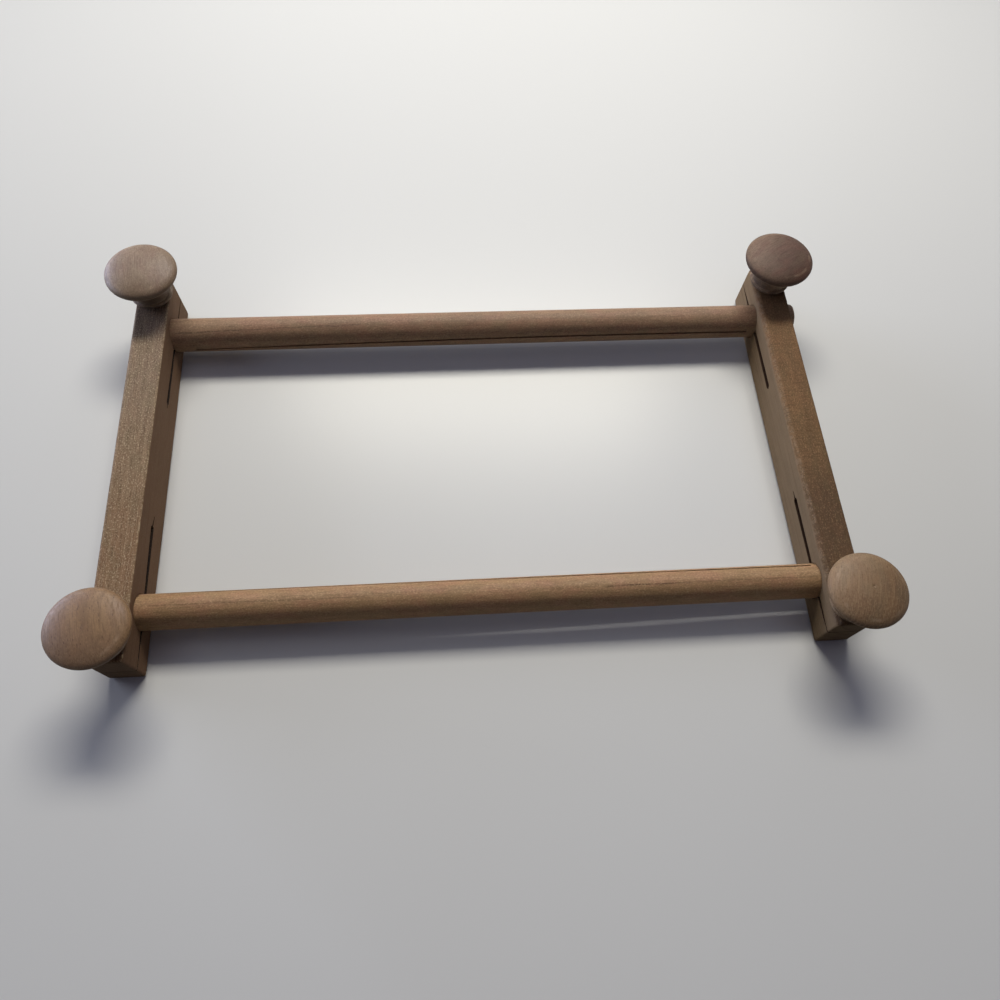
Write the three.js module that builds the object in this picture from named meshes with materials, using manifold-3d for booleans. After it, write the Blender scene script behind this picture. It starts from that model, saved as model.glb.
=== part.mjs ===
// Split-rail scroll frame for needlework, in millimetres.
// X runs along the two rods, Y along the two side bars and Z up from the table the frame lies on.
// The origin is the middle of the frame, at the height of the bars' undersides.

import * as THREE from 'three';
import { mergeVertices } from 'three/addons/utils/BufferGeometryUtils.js';
import Module from 'manifold-3d';

const wasm = await Module();
wasm.setup();

// Side bars
const frameWidth = 378;
const barLength = 228.6;
const barWidth = 18.4;
const barHeight = 27.5;
const barEdgeRadius = 2;
const barEndRadius = 1.4;

// Saw kerf that splits each end of a side bar: as wide as it was sawn up to the rod, which props it
// open, and pinched past the rod by the bolt. It was sawn above the middle of the right bar.
const kerfLength = 76.6;
const kerfWidth = 2.8;
const kerfMouthWidth = 0.6;
const kerfRise = { left: 0, right: 2 };

// Rods, which pass right through the bars and stand out further on the right than on the left
const rodDiameter = 18.2;
const rodInset = 29.1;
const leftOverhang = 0.7;
const rightOverhang = 5.3;
const rodEndChamfer = 1.2;

// Slit that holds the cloth, sawn right through each rod: its tilt at mid-length, from level, and
// how far the saw wandered from one end of it to the other, both in degrees
const slitInset = 29.5;
const slitWidth = 1;
const frontSlit = { tilt: 38, wander: 20 };
const backSlit = { tilt: -2, wander: -20 };

// Clamp bolts, with a domed head under the bar, a square neck in the wood and a tip in the knob
const boltInset = 11.7;
const boltDiameter = 6.2;
const boltReach = 13.2;
const boltTipChamfer = 0.8;
const headDiameter = 14.4;
const headHeight = 3.2;
const headRimHeight = 0.7;
const neckSide = 6.3;
const neckHeight = 4;
const counterboreDepth = 3.8;

// Washers under the knobs
const washerDiameter = 15.9;
const washerThickness = 1.2;

// Turned knobs, with heights from the underside of the flange
const knobHeight = 20.8;
const knobDiameter = 38.6;
const rimHeight = 15.3;
const flangeDiameter = 23.2;
const flangeThickness = 1.8;
const neckDiameter = 19;
const beadDiameter = 28.4;
const beadHeight = 11.6;
const beadThickness = 1.4;
const dimpleRadius = 0.9;
const dimpleDepth = 0.4;

// Threaded inserts in the knobs, and the free depth of their bore past the insert and the bolt
const insertDiameter = 9.6;
const insertLength = 12.7;
const insertChamfer = 0.6;
const boreRunout = 1.8;

// Clearances, each on one side
const rodClearance = 0.3;
const boltClearance = 0.3;
const headClearance = 0.5;
const neckClearance = 0.3;
const insertClearance = 0.15;

// Facets round a full turn
const rodSides = 32;
const knobSides = 32;
const hardwareSides = 20;

// Facets along a slit and over each rounded form
const slitSteps = 8;
const edgeSteps = 4;
const endSteps = 3;
const headSteps = 5;
const flangeSteps = 4;
const coveSteps = 6;
const beadSteps = 3;
const undercutSteps = 4;
const domeSteps = 7;

// Lengths and places that follow from the sizes
const rodLength = leftOverhang + frameWidth + rightOverhang;
const rodX = (rightOverhang - leftOverhang) / 2;
const slitLength = rodLength - 2 * slitInset;
const boltLength = barHeight - counterboreDepth + washerThickness + boltReach;
const boreDepth = Math.max(insertLength, boltReach) + boreRunout;
const barX = (frameWidth - barWidth) / 2;
const rodY = barLength / 2 - rodInset;
const rodZ = barHeight / 2;
const boltY = barLength / 2 - boltInset;
const knobZ = barHeight + washerThickness;

// How far a cutter reaches past the face it cuts
const overcut = 1;

const wood = { color: 0xa68a72, roughness: 0.62, metalness: 0 };
const rodWood = { color: 0xad8b70, roughness: 0.58, metalness: 0 };
const steel = { color: 0xb4b6b8, roughness: 0.35, metalness: 0.9 };
const brass = { color: 0xb8964e, roughness: 0.35, metalness: 0.9 };

// A closed geometry with its shared corners merged and its collapsed triangles left out
function weld(geometry) {
  const bare = geometry.clone();
  bare.deleteAttribute('normal');
  bare.deleteAttribute('uv');
  const merged = mergeVertices(bare);
  const corners = merged.index.array;
  const kept = [];
  for (let i = 0; i < corners.length; i += 3) {
    const [a, b, c] = corners.slice(i, i + 3);
    if (a !== b && b !== c && c !== a) kept.push(a, b, c);
  }
  merged.setIndex(kept);
  return merged;
}

function toSolid(geometry) {
  const welded = weld(geometry);
  return new wasm.Manifold(new wasm.Mesh({
    numProp: 3,
    vertProperties: welded.attributes.position.array,
    triVerts: new Uint32Array(welded.index.array),
  }));
}

function toGeometry(solid) {
  const { vertProperties, triVerts } = solid.getMesh();
  const geometry = new THREE.BufferGeometry();
  geometry.setAttribute('position', new THREE.BufferAttribute(vertProperties, 3));
  geometry.setIndex(new THREE.BufferAttribute(triVerts, 1));
  geometry.computeVertexNormals();
  return geometry;
}

// A turned form about the Z axis from points of radius and height, bottom first
function turned(points, sides) {
  return new THREE.LatheGeometry(points, sides).rotateX(Math.PI / 2);
}

function cylinderZ(radius, bottom, top, sides) {
  const cylinder = new THREE.CylinderGeometry(radius, radius, top - bottom, sides);
  return cylinder.rotateX(Math.PI / 2).translate(0, 0, (bottom + top) / 2);
}

function roundedRectangle(width, height, radius) {
  const x = width / 2 - radius;
  const y = height / 2 - radius;
  const shape = new THREE.Shape();
  shape.absarc(x, y, radius, 0, Math.PI / 2);
  shape.absarc(-x, y, radius, Math.PI / 2, Math.PI);
  shape.absarc(-x, -y, radius, Math.PI, 1.5 * Math.PI);
  shape.absarc(x, -y, radius, 1.5 * Math.PI, 2 * Math.PI);
  return shape;
}

// The bar before it is bored and sawn, with its long edges and its ends eased
function barBlank() {
  const blank = new THREE.ExtrudeGeometry(roundedRectangle(barWidth, barHeight, barEdgeRadius), {
    depth: barLength - 2 * barEndRadius,
    curveSegments: edgeSteps,
    bevelThickness: barEndRadius,
    bevelSize: barEndRadius,
    bevelOffset: -barEndRadius,
    bevelSegments: endSteps,
  });
  return blank.translate(0, 0, barEndRadius - barLength / 2).rotateX(Math.PI / 2).translate(0, 0, rodZ);
}

// The wood that the kerf takes from one end of a bar, end is 1 at the back and -1 in front
function kerfCut(end, rise) {
  const root = barLength / 2 - kerfLength;
  const mouth = barLength / 2 + overcut;
  const outline = new THREE.Shape([
    new THREE.Vector2(root, -kerfWidth / 2),
    new THREE.Vector2(rodY, -kerfWidth / 2),
    new THREE.Vector2(mouth, -kerfMouthWidth / 2),
    new THREE.Vector2(mouth, kerfMouthWidth / 2),
    new THREE.Vector2(rodY, kerfWidth / 2),
    new THREE.Vector2(root, kerfWidth / 2),
  ]);
  const depth = barWidth + 2 * overcut;
  const slot = new THREE.ExtrudeGeometry(outline, { depth, bevelEnabled: false });
  slot.translate(0, 0, -depth / 2).rotateZ(Math.PI / 2).rotateY(Math.PI / 2);
  if (end < 0) slot.rotateZ(Math.PI);
  return slot.translate(0, 0, rodZ + rise);
}

// The cross bore for a rod
function rodCut(end) {
  const bore = new THREE.CylinderGeometry(
    rodDiameter / 2 + rodClearance, rodDiameter / 2 + rodClearance, barWidth + 2 * overcut, rodSides);
  return bore.rotateZ(Math.PI / 2).translate(0, end * rodY, rodZ);
}

// The bolt's hole, the square pocket for its neck and the counterbore for its head
function boltCuts(end) {
  const hole = cylinderZ(boltDiameter / 2 + boltClearance, 0, barHeight + overcut, hardwareSides);
  const counterbore = cylinderZ(headDiameter / 2 + headClearance, -overcut, counterboreDepth, hardwareSides);
  const pocketSide = neckSide + 2 * neckClearance;
  const pocketHeight = counterboreDepth + neckHeight + neckClearance;
  const pocket = new THREE.BoxGeometry(pocketSide, pocketSide, pocketHeight);
  pocket.translate(0, 0, pocketHeight / 2);
  return [hole, counterbore, pocket].map((cut) => cut.translate(0, end * boltY, 0));
}

function sideBar(rise) {
  let bar = toSolid(barBlank());
  for (const end of [-1, 1]) {
    for (const cut of [kerfCut(end, rise), rodCut(end), ...boltCuts(end)]) {
      bar = bar.subtract(toSolid(cut));
    }
  }
  return toGeometry(bar);
}

// A rod along X with its saw slit, ringed where the steps of the slit meet its skin
function slitRod({ tilt, wander }) {
  const radius = rodDiameter / 2;
  const half = rodLength / 2;
  const outline = [new THREE.Vector2(0, -half), new THREE.Vector2(radius - rodEndChamfer, -half)];
  outline.push(new THREE.Vector2(radius, rodEndChamfer - half));
  for (let step = 0; step <= slitSteps; step += 1) {
    outline.push(new THREE.Vector2(radius, slitLength * (step / slitSteps - 0.5)));
  }
  outline.push(new THREE.Vector2(radius, half - rodEndChamfer));
  outline.push(new THREE.Vector2(radius - rodEndChamfer, half), new THREE.Vector2(0, half));
  const rod = new THREE.LatheGeometry(outline, rodSides).rotateZ(-Math.PI / 2);
  const blade = new THREE.BoxGeometry(slitLength, rodDiameter + 2 * overcut, slitWidth, slitSteps, 1, 1);
  const corners = blade.attributes.position;
  const corner = new THREE.Vector3();
  const alongRod = new THREE.Vector3(1, 0, 0);
  for (let i = 0; i < corners.count; i += 1) {
    corner.fromBufferAttribute(corners, i);
    const turn = tilt + wander * corner.x / slitLength;
    corner.applyAxisAngle(alongRod, THREE.MathUtils.degToRad(turn));
    corners.setXYZ(i, corner.x, corner.y, corner.z);
  }
  return toGeometry(toSolid(rod).subtract(toSolid(blade)));
}

// A carriage bolt standing on its domed head, with its neck and shank above
function clampBolt() {
  const radius = boltDiameter / 2;
  const tip = headHeight + boltLength;
  const domeHeight = headHeight - headRimHeight;
  const outline = [
    new THREE.Vector2(0, 0),
    ...arc(0, domeHeight, headDiameter / 2, domeHeight, -Math.PI / 2, 0, headSteps),
    new THREE.Vector2(headDiameter / 2, headHeight),
    new THREE.Vector2(radius, headHeight),
    new THREE.Vector2(radius, tip - boltTipChamfer),
    new THREE.Vector2(radius - boltTipChamfer, tip),
    new THREE.Vector2(0, tip),
  ];
  const neck = new THREE.BoxGeometry(neckSide, neckSide, neckHeight + headRimHeight);
  neck.translate(0, 0, headHeight + (neckHeight - headRimHeight) / 2);
  return toGeometry(toSolid(turned(outline, hardwareSides)).add(toSolid(neck)));
}

function washer() {
  const hole = boltDiameter / 2 + boltClearance;
  return turned([
    new THREE.Vector2(hole, 0),
    new THREE.Vector2(washerDiameter / 2, 0),
    new THREE.Vector2(washerDiameter / 2, washerThickness),
    new THREE.Vector2(hole, washerThickness),
    new THREE.Vector2(hole, 0),
  ], hardwareSides);
}

function threadedInsert() {
  const inner = boltDiameter / 2 + boltClearance;
  const outer = insertDiameter / 2;
  return turned([
    new THREE.Vector2(inner, 0),
    new THREE.Vector2(outer, 0),
    new THREE.Vector2(outer, insertLength - insertChamfer),
    new THREE.Vector2(outer - insertChamfer, insertLength),
    new THREE.Vector2(inner, insertLength),
    new THREE.Vector2(inner, 0),
  ], hardwareSides);
}

// Points on an elliptical arc of a profile, its first point left to the stretch before it
function arc(x, y, xRadius, yRadius, start, end, steps) {
  const curve = new THREE.EllipseCurve(x, y, xRadius, yRadius, start, end, end < start);
  return curve.getPoints(steps).slice(1);
}

// A mushroom knob: blind bore, thin flange, hollow neck, bead and shallow domed cap
function knob() {
  const bore = insertDiameter / 2 + insertClearance;
  const flangeRound = flangeThickness / 2;
  const flange = flangeDiameter / 2 - flangeRound;
  const neck = neckDiameter / 2;
  const beadRound = beadThickness / 2;
  const shoulder = beadDiameter / 2 - beadRound;
  const rim = knobDiameter / 2;
  const down = -Math.PI / 2;
  const up = Math.PI / 2;
  const cove = new THREE.CubicBezierCurve(
    new THREE.Vector2(flange, flangeThickness),
    new THREE.Vector2(neck, flangeThickness),
    new THREE.Vector2(neck, beadHeight - beadThickness),
    new THREE.Vector2(shoulder, beadHeight - beadThickness),
  );
  return turned([
    new THREE.Vector2(0, boreDepth),
    new THREE.Vector2(bore, boreDepth),
    new THREE.Vector2(bore, 0),
    new THREE.Vector2(flange, 0),
    ...arc(flange, flangeRound, flangeRound, flangeRound, down, up, flangeSteps),
    ...cove.getPoints(coveSteps).slice(1),
    ...arc(shoulder, beadHeight - beadRound, beadRound, beadRound, down, up, beadSteps),
    ...arc(shoulder, rimHeight, rim - shoulder, rimHeight - beadHeight, down, 0, undercutSteps),
    ...arc(dimpleRadius, rimHeight, rim - dimpleRadius, knobHeight - rimHeight, 0, up, domeSteps),
    new THREE.Vector2(0, knobHeight - dimpleDepth),
  ], knobSides);
}

const frame = new THREE.Group();

function place(name, geometry, finish, x, y, z) {
  const mesh = new THREE.Mesh(geometry, new THREE.MeshStandardMaterial(finish));
  mesh.name = name;
  mesh.position.set(x, y, z);
  frame.add(mesh);
}

for (const [side, sign] of [['left', -1], ['right', 1]]) {
  place(`${side}_side_bar`, sideBar(kerfRise[side]), wood, sign * barX, 0, 0);
}

place('front_rod', slitRod(frontSlit), rodWood, rodX, -rodY, rodZ);
place('back_rod', slitRod(backSlit), rodWood, rodX, rodY, rodZ);

for (const [row, end] of [['front', -1], ['back', 1]]) {
  for (const [side, sign] of [['left', -1], ['right', 1]]) {
    const x = sign * barX;
    const y = end * boltY;
    place(`${row}_${side}_bolt`, clampBolt(), steel, x, y, counterboreDepth - headHeight);
    place(`${row}_${side}_washer`, washer(), steel, x, y, barHeight);
    place(`${row}_${side}_insert`, threadedInsert(), brass, x, y, knobZ);
    place(`${row}_${side}_knob`, knob(), wood, x, y, knobZ);
  }
}

export default frame;
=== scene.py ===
# Needlework scroll frame: two split side bars, two slit rods and four turned clamping knobs.
import bmesh
import bpy
import math
from mathutils import Matrix, Vector, noise


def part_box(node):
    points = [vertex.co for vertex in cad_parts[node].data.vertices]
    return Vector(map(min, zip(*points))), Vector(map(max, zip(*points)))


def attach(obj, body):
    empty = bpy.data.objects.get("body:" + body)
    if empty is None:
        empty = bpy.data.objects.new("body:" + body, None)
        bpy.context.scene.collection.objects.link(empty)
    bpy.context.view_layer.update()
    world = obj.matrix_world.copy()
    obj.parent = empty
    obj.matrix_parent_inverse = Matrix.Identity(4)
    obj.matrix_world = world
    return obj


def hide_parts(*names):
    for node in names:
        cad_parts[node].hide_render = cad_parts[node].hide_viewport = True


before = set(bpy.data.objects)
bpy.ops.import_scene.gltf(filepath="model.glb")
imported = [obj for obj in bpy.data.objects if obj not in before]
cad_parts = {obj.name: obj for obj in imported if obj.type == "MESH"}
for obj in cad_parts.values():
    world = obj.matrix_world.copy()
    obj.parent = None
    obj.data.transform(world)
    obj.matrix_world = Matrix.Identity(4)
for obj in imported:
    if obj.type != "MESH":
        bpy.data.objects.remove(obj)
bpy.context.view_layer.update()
mm = 0.001
quarter = math.pi / 2
fullTurn = 2 * math.pi
rows = ("front", "back")
sides = ("left", "right")
print("frame loaded")


# Node trees

def operator(operation, swapped=False):
    def apply(self, other=None):
        values = [self] if other is None else [self, other]
        return self.tree.maths(operation, *(reversed(values) if swapped else values))
    return apply


class Signal:  # one socket of a tree, where Python's own signs add Math nodes
    def __init__(self, tree, socket):
        self.tree = tree
        self.socket = socket

    __add__ = operator("ADD")
    __radd__ = operator("ADD", swapped=True)
    __sub__ = operator("SUBTRACT")
    __rsub__ = operator("SUBTRACT", swapped=True)
    __mul__ = operator("MULTIPLY")
    __rmul__ = operator("MULTIPLY", swapped=True)
    __truediv__ = operator("DIVIDE")
    __rtruediv__ = operator("DIVIDE", swapped=True)
    __mod__ = operator("FLOORED_MODULO")
    __lt__ = operator("LESS_THAN")
    __abs__ = operator("ABSOLUTE")


def findSocket(sockets, key):
    if isinstance(key, int):
        return sockets[key]
    return next((s for s in sockets if s.identifier == key), None) or sockets[key]


class Tree:
    def __init__(self, tree):
        self.tree = tree

    def node(self, kind, settings=None, sockets=None, output=0):
        made = self.tree.nodes.new(kind)
        for setting, value in (settings or {}).items():
            setattr(made, setting, value)
        for key, value in (sockets or {}).items():
            self.feed(findSocket(made.inputs, key), value)
        return Signal(self, findSocket(made.outputs, output)) if made.outputs else made

    def feed(self, socket, value):
        if isinstance(value, Signal):
            self.tree.links.new(value.socket, socket)
        else:
            socket.default_value = value

    def maths(self, operation, *values):
        return self.node("ShaderNodeMath", {"operation": operation}, dict(enumerate(values)))

    def vector(self, operation, *values, output="Vector"):
        return self.node("ShaderNodeVectorMath", {"operation": operation}, dict(enumerate(values)), output)

    def away(self, point):  # how far a place lies from a point, as a vector
        return self.vector("SUBTRACT", self.here, tuple(point))

    def axis(self, vector, output):
        return self.node("ShaderNodeSeparateXYZ", {}, {0: vector}, output)

    def smooth(self, value, low, high):  # 0 below low and 1 above high, or turned round if low is higher
        ends = {"Value": value, "From Min": low, "From Max": high}
        return self.node("ShaderNodeMapRange", {"interpolation_type": "SMOOTHSTEP"}, ends)

    def mix(self, share, first, second):
        parts = {"Factor_Float": share, "A_Color": first, "B_Color": second}
        return self.node("ShaderNodeMix", {"data_type": "RGBA"}, parts, "Result_Color")

    def tint(self, share, colour):  # lay a screen colour over the colour so far
        self.colour = self.mix(share, self.colour, linear(*colour))

    def noise(self, place, size, detail=2.0):  # size in millimetres along each axis of place
        scaled = self.vector("DIVIDE", place, size)
        return self.node("ShaderNodeTexNoise", {}, {"Vector": scaled, "Scale": 1.0, "Detail": detail}, "Fac")

    def pattern(self, size, low, high, detail=2.0):  # patches where the noise in the material rises past low
        return self.smooth(self.noise(self.grain, size, detail), low, high)

    def stray(self, size, reach, detail=2.0):  # wanders about 0 by up to half of reach to either side
        return (self.noise(self.grain, size, detail) - 0.5) * reach


def linear(*colour):  # a screen colour, 0 to 255, made linear by the sRGB curve
    return tuple((v / 255 / 12.92 if v < 11 else ((v / 255 + 0.055) / 1.055) ** 2.4) for v in colour) + (1.0,)


def newMaterial(name, **uniform):  # the tree of a new material, with its uniform numbers set
    material = bpy.data.materials.new(name)
    material.use_nodes = True
    surface = material.node_tree.nodes["Principled BSDF"]
    for socket, value in uniform.items():
        surface.inputs[socket.replace("_", " ")].default_value = value
    tree = Tree(material.node_tree)
    tree.material = material
    tree.surface = surface
    tree.here = tree.node("ShaderNodeTexCoord", output="Object")
    return tree


def finishMaterial(tree, colour, roughness, height, look):
    bump = {"Height": height, "Distance": look["bumpHeight"] * mm, "Strength": look["bumpStrength"]}
    tree.feed(tree.surface.inputs["Base Color"], colour)
    tree.feed(tree.surface.inputs["Roughness"], roughness)
    tree.feed(tree.surface.inputs["Normal"], tree.node("ShaderNodeBump", {}, bump))
    return tree.material


# Wood

woods = {  # screen colours; pith's place and ring spacing in millimetres; each mark's tint and strength
    "leftBar": {
        # the left bar's side colour is partly painted shade on its upright faces
        "pale": (136, 115, 88), "brown": (113, 93, 70), "deep": (68, 52, 36), "side": (107, 82, 62),
        "sideShare": 0.9, "gloss": 0.12, "roughness": 0.8, "streakShare": 0.6, "seed": 1,
        "pith": (-46, 30), "ringSpacing": 3.4, "ringStrength": 0.12,
        "marks": {
            "redPatch": ((130, 99, 74), 0.15), "olivePatch": ((103, 94, 67), 0.25),
            "fibre": ((73, 58, 42), 0.45), "grain": ((152, 131, 102), 0.35),
            "paleSpeck": ((188, 173, 141), 0.55), "darkSpeck": ((67, 53, 39), 0.5),
        },
    },
    "rightBar": {
        # the right bar's side colour is partly painted light on its upright faces
        "pale": (116, 90, 60), "brown": (98, 76, 50), "deep": (62, 45, 29), "side": (127, 109, 83),
        "sideShare": 0.75, "gloss": 0.12, "roughness": 0.8, "streakShare": 0.2, "seed": 2,
        "pith": (-22, 34), "ringSpacing": 6.0, "ringStrength": 0.12,
        "marks": {
            "redPatch": ((117, 86, 59), 0.2), "olivePatch": ((92, 78, 53), 0.35),
            "ripple": ((70, 53, 35), 0.35), "fibre": ((67, 52, 33), 0.25),
            "paleSpeck": ((147, 118, 85), 0.4), "darkSpeck": ((61, 46, 31), 0.4),
        },
    },
    "frontRod": {
        "pale": (151, 120, 85), "brown": (136, 107, 74), "deep": (76, 54, 35),
        "gloss": 0.2, "roughness": 0.6, "streakShare": 0.5, "seed": 3,
        "pith": (14, 22), "ringSpacing": 3.2, "ringStrength": 0.1,
        "marks": {
            "redPatch": ((151, 108, 82), 0.35), "olivePatch": ((128, 109, 73), 0.3),
            "fibre": ((97, 74, 49), 0.35), "paleSpeck": ((184, 155, 115), 0.35),
            "darkSpeck": ((95, 74, 52), 0.4),
        },
    },
    "backRod": {
        "pale": (143, 115, 87), "brown": (126, 102, 77), "deep": (67, 50, 41),
        "gloss": 0.2, "roughness": 0.6, "streakShare": 0.5, "seed": 4,
        "pith": (-12, 24), "ringSpacing": 3.6, "ringStrength": 0.1,
        "marks": {
            "redPatch": ((142, 104, 82), 0.35), "olivePatch": ((122, 106, 78), 0.3),
            "fibre": ((92, 69, 56), 0.35), "paleSpeck": ((174, 147, 116), 0.35),
            "darkSpeck": ((85, 65, 53), 0.4),
        },
    },
    "front_leftKnob": {
        "pale": (131, 103, 68), "brown": (113, 87, 57), "deep": (76, 54, 34),
        "gloss": 0.35, "roughness": 0.54, "streakShare": 0.2, "seed": 5,
        "pith": (5, -6), "taper": 0.05, "ringSpacing": 2.6, "ringWander": 2.0, "ringStrength": 0.2,
        "marks": {
            "redPatch": ((122, 91, 64), 0.25), "fibre": ((80, 58, 36), 0.45),
            "paleSpeck": ((153, 123, 85), 0.25), "darkSpeck": ((87, 64, 43), 0.35),
            "fleck": ((67, 43, 25), 0.8),
        },
    },
    "front_rightKnob": {
        "pale": (118, 95, 65), "brown": (100, 78, 53), "deep": (132, 108, 76),
        "gloss": 0.25, "roughness": 0.6, "streakShare": 0.15, "seed": 6,
        "pith": (-60, -10), "taper": 0.1, "ringSpacing": 1.9, "ringWander": 2.5, "ringStrength": 0.2,
        "marks": {
            "redPatch": ((117, 88, 59), 0.35), "olivePatch": ((100, 88, 64), 0.25),
            "fibre": ((79, 60, 38), 0.35), "grain": ((140, 115, 82), 0.35),
            "paleSpeck": ((144, 122, 89), 0.3), "darkSpeck": ((77, 59, 38), 0.3),
        },
    },
    "back_leftKnob": {
        "pale": (130, 112, 90), "brown": (113, 93, 73), "deep": (80, 60, 46),
        "gloss": 0.35, "roughness": 0.54, "streakShare": 0.1, "seed": 7,
        "pith": (18, -24), "taper": 0.1, "ringSpacing": 3.2, "ringWander": 3.0, "ringStrength": 0.12,
        "marks": {
            "redPatch": ((114, 84, 66), 0.35), "olivePatch": ((115, 99, 75), 0.4),
            "fibre": ((86, 66, 51), 0.45), "grain": ((148, 129, 102), 0.15),
            "paleSpeck": ((153, 134, 108), 0.35), "darkSpeck": ((82, 62, 48), 0.35),
        },
    },
    "back_rightKnob": {
        "pale": (90, 70, 57), "brown": (71, 50, 39), "deep": (94, 74, 57),
        "gloss": 0.2, "roughness": 0.62, "streakShare": 0.1, "seed": 8,
        "pith": (-50, -14), "taper": 0.1, "ringSpacing": 3.4, "ringWander": 3.0, "ringStrength": 0.12,
        "marks": {
            "redPatch": ((88, 59, 47), 0.5), "olivePatch": ((82, 68, 51), 0.4),
            "fibre": ((52, 37, 29), 0.25), "grain": ((100, 80, 61), 0.2),
            "paleSpeck": ((104, 84, 66), 0.3), "darkSpeck": ((48, 34, 27), 0.3),
        },
    },
}
woodMarks = {  # millimetres across and along the grain, then the noise where a mark starts and is full
    "mottle": (11.0, 24.0, 0.3, 0.7), "streak": (1.6, 70.0, 0.3, 0.7), "fibre": (0.45, 8.0, 0.45, 0.7),
    "redPatch": (6.0, 12.0, 0.46, 0.68), "olivePatch": (6.0, 12.0, 0.54, 0.32),
    "ripple": (8.0, 0.9, 0.5, 0.68), "grain": (0.6, 24.0, 0.5, 0.66),
    "paleSpeck": (0.6, 0.95, 0.53, 0.7), "darkSpeck": (0.6, 0.95, 0.47, 0.3),
}
woodGrain = {  # millimetres, and shares
    "seedStep": (71.3, 37.9, 53.7), "lateWood": (0.35, 0.93),
    "wanderSize": (26, 26, 130), "wanderDetail": 1.0, "ringWander": 7.0,
    "fleckSize": (0.5, 2.4), "fleckShare": 0.06, "fleckEdge": (0.5, 0.2),
    "endFacing": (0.55, 0.95), "endStrength": 0.7, "endShadeTone": 0.62, "endRings": 0.4,
    "relief": {"fibre": 0.6, "lateWood": 0.2, "fleck": 0.5, "paleSpeck": 0.3},
    "bumpHeight": 0.05, "bumpStrength": 0.8, "fibreMean": 0.3, "fibreRoughness": 0.15, "endRoughness": 0.1,
}


def findFlecks(tree):  # short dark pores: some cells of a stretched pattern, drawn by their middles
    across, lengthwise = woodGrain["fleckSize"]
    cells = {"Vector": tree.vector("DIVIDE", tree.grain, (across, across, lengthwise)), "Scale": 1.0}
    cellColour = tree.node("ShaderNodeTexVoronoi", {}, cells, "Color")
    cellDistance = tree.node("ShaderNodeTexVoronoi", {}, cells, "Distance")
    chosen = tree.node("ShaderNodeSeparateColor", {}, {0: cellColour}) < woodGrain["fleckShare"]
    return chosen * tree.smooth(cellDistance, *woodGrain["fleckEdge"])


def findMark(tree, kind):
    across, lengthwise, low, high = woodMarks[kind]
    return tree.pattern((across, across, lengthwise), low, high)


def growthRings(tree, look):  # 1 in the late wood of each ring round the pith
    start, full = woodGrain["lateWood"]
    reach = look.get("ringWander", woodGrain["ringWander"])
    wander = tree.stray(woodGrain["wanderSize"], reach, woodGrain["wanderDetail"])
    fromPith = tree.vector("MULTIPLY", tree.vector("SUBTRACT", tree.stick, (*look["pith"], 0)), (1, 1, 0))
    radius = tree.vector("LENGTH", fromPith, output="Value") + wander
    radius = radius + tree.axis(tree.stick, "Z") * look.get("taper", 0.0)
    ring = (radius / look["ringSpacing"]) % 1.0
    return tree.smooth(ring, start, full) * tree.smooth(ring, 1.0, full)


def woodMaterial(name, look, middle, along, prepare):
    shared = woodGrain
    tree = newMaterial(name, Specular_IOR_Level=look["gloss"])
    turn = Vector(along).to_track_quat("Z", "Y").to_euler()
    place = {"Vector": tree.here, "Location": middle, "Rotation": turn, "Scale": (mm, mm, mm)}
    tree.stick = tree.node("ShaderNodeMapping", {"vector_type": "TEXTURE"}, place)  # in mm, Z along the grain
    tree.normal = tree.node("ShaderNodeTexCoord", output="Normal")
    tree.grain = tree.vector("ADD", tree.stick, tuple(look["seed"] * step for step in shared["seedStep"]))

    lateWood = growthRings(tree, look)
    facing = abs(tree.vector("DOT_PRODUCT", tree.normal, tuple(along), output="Value"))
    endGrain = tree.smooth(facing, *shared["endFacing"])
    found = {kind: findMark(tree, kind) for kind in ("fibre", "paleSpeck")}
    found["fleck"] = findFlecks(tree)

    tree.rough = 1.0  # how far the marks show, from 0 on planed faces to 1
    relief = shared["relief"]
    tree.height = found["fibre"] * relief["fibre"] + lateWood * relief["lateWood"]
    tree.height = tree.height - found["fleck"] * relief["fleck"] + found["paleSpeck"] * relief["paleSpeck"]
    streaks = findMark(tree, "streak") * look["streakShare"]
    tone = streaks + findMark(tree, "mottle") * (1 - look["streakShare"])
    tree.colour = tree.mix(tone, linear(*look["pale"]), linear(*look["brown"]))
    prepare(tree)
    tree.tint(lateWood * look["ringStrength"] * tree.rough, look["deep"])
    for kind, (colour, strength) in look["marks"].items():
        tree.tint((found.get(kind) or findMark(tree, kind)) * strength * tree.rough, colour)
    endShadeColour = [v * shared["endShadeTone"] for v in look["brown"]]  # sawn end grain soaks up light; the darker tint is also painted shade on the end faces
    tree.tint(endGrain * shared["endStrength"], endShadeColour)
    tree.tint(endGrain * lateWood * shared["endRings"], look["deep"])
    roughness = (found["fibre"] - shared["fibreMean"]) * shared["fibreRoughness"]
    roughness = roughness + endGrain * shared["endRoughness"] + look["roughness"]
    return finishMaterial(tree, tree.colour, roughness, tree.height, shared)


# Metal

metals = {
    "zinc": {"colour": (182, 184, 184), "stain": (132, 134, 136), "roughness": 0.34},
    "brass": {"colour": (196, 158, 82), "stain": (140, 104, 52), "roughness": 0.30},
}
metalGrain = {  # millimetres
    "stains": ((2.5, 2.5, 2.5), 0.4, 0.7, 4.0), "stainRoughness": 0.15,
    "brushing": ((0.25, 0.25, 1.6), 3.0), "brushRoughness": 0.2, "bumpHeight": 0.012, "bumpStrength": 0.5,
}


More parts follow.
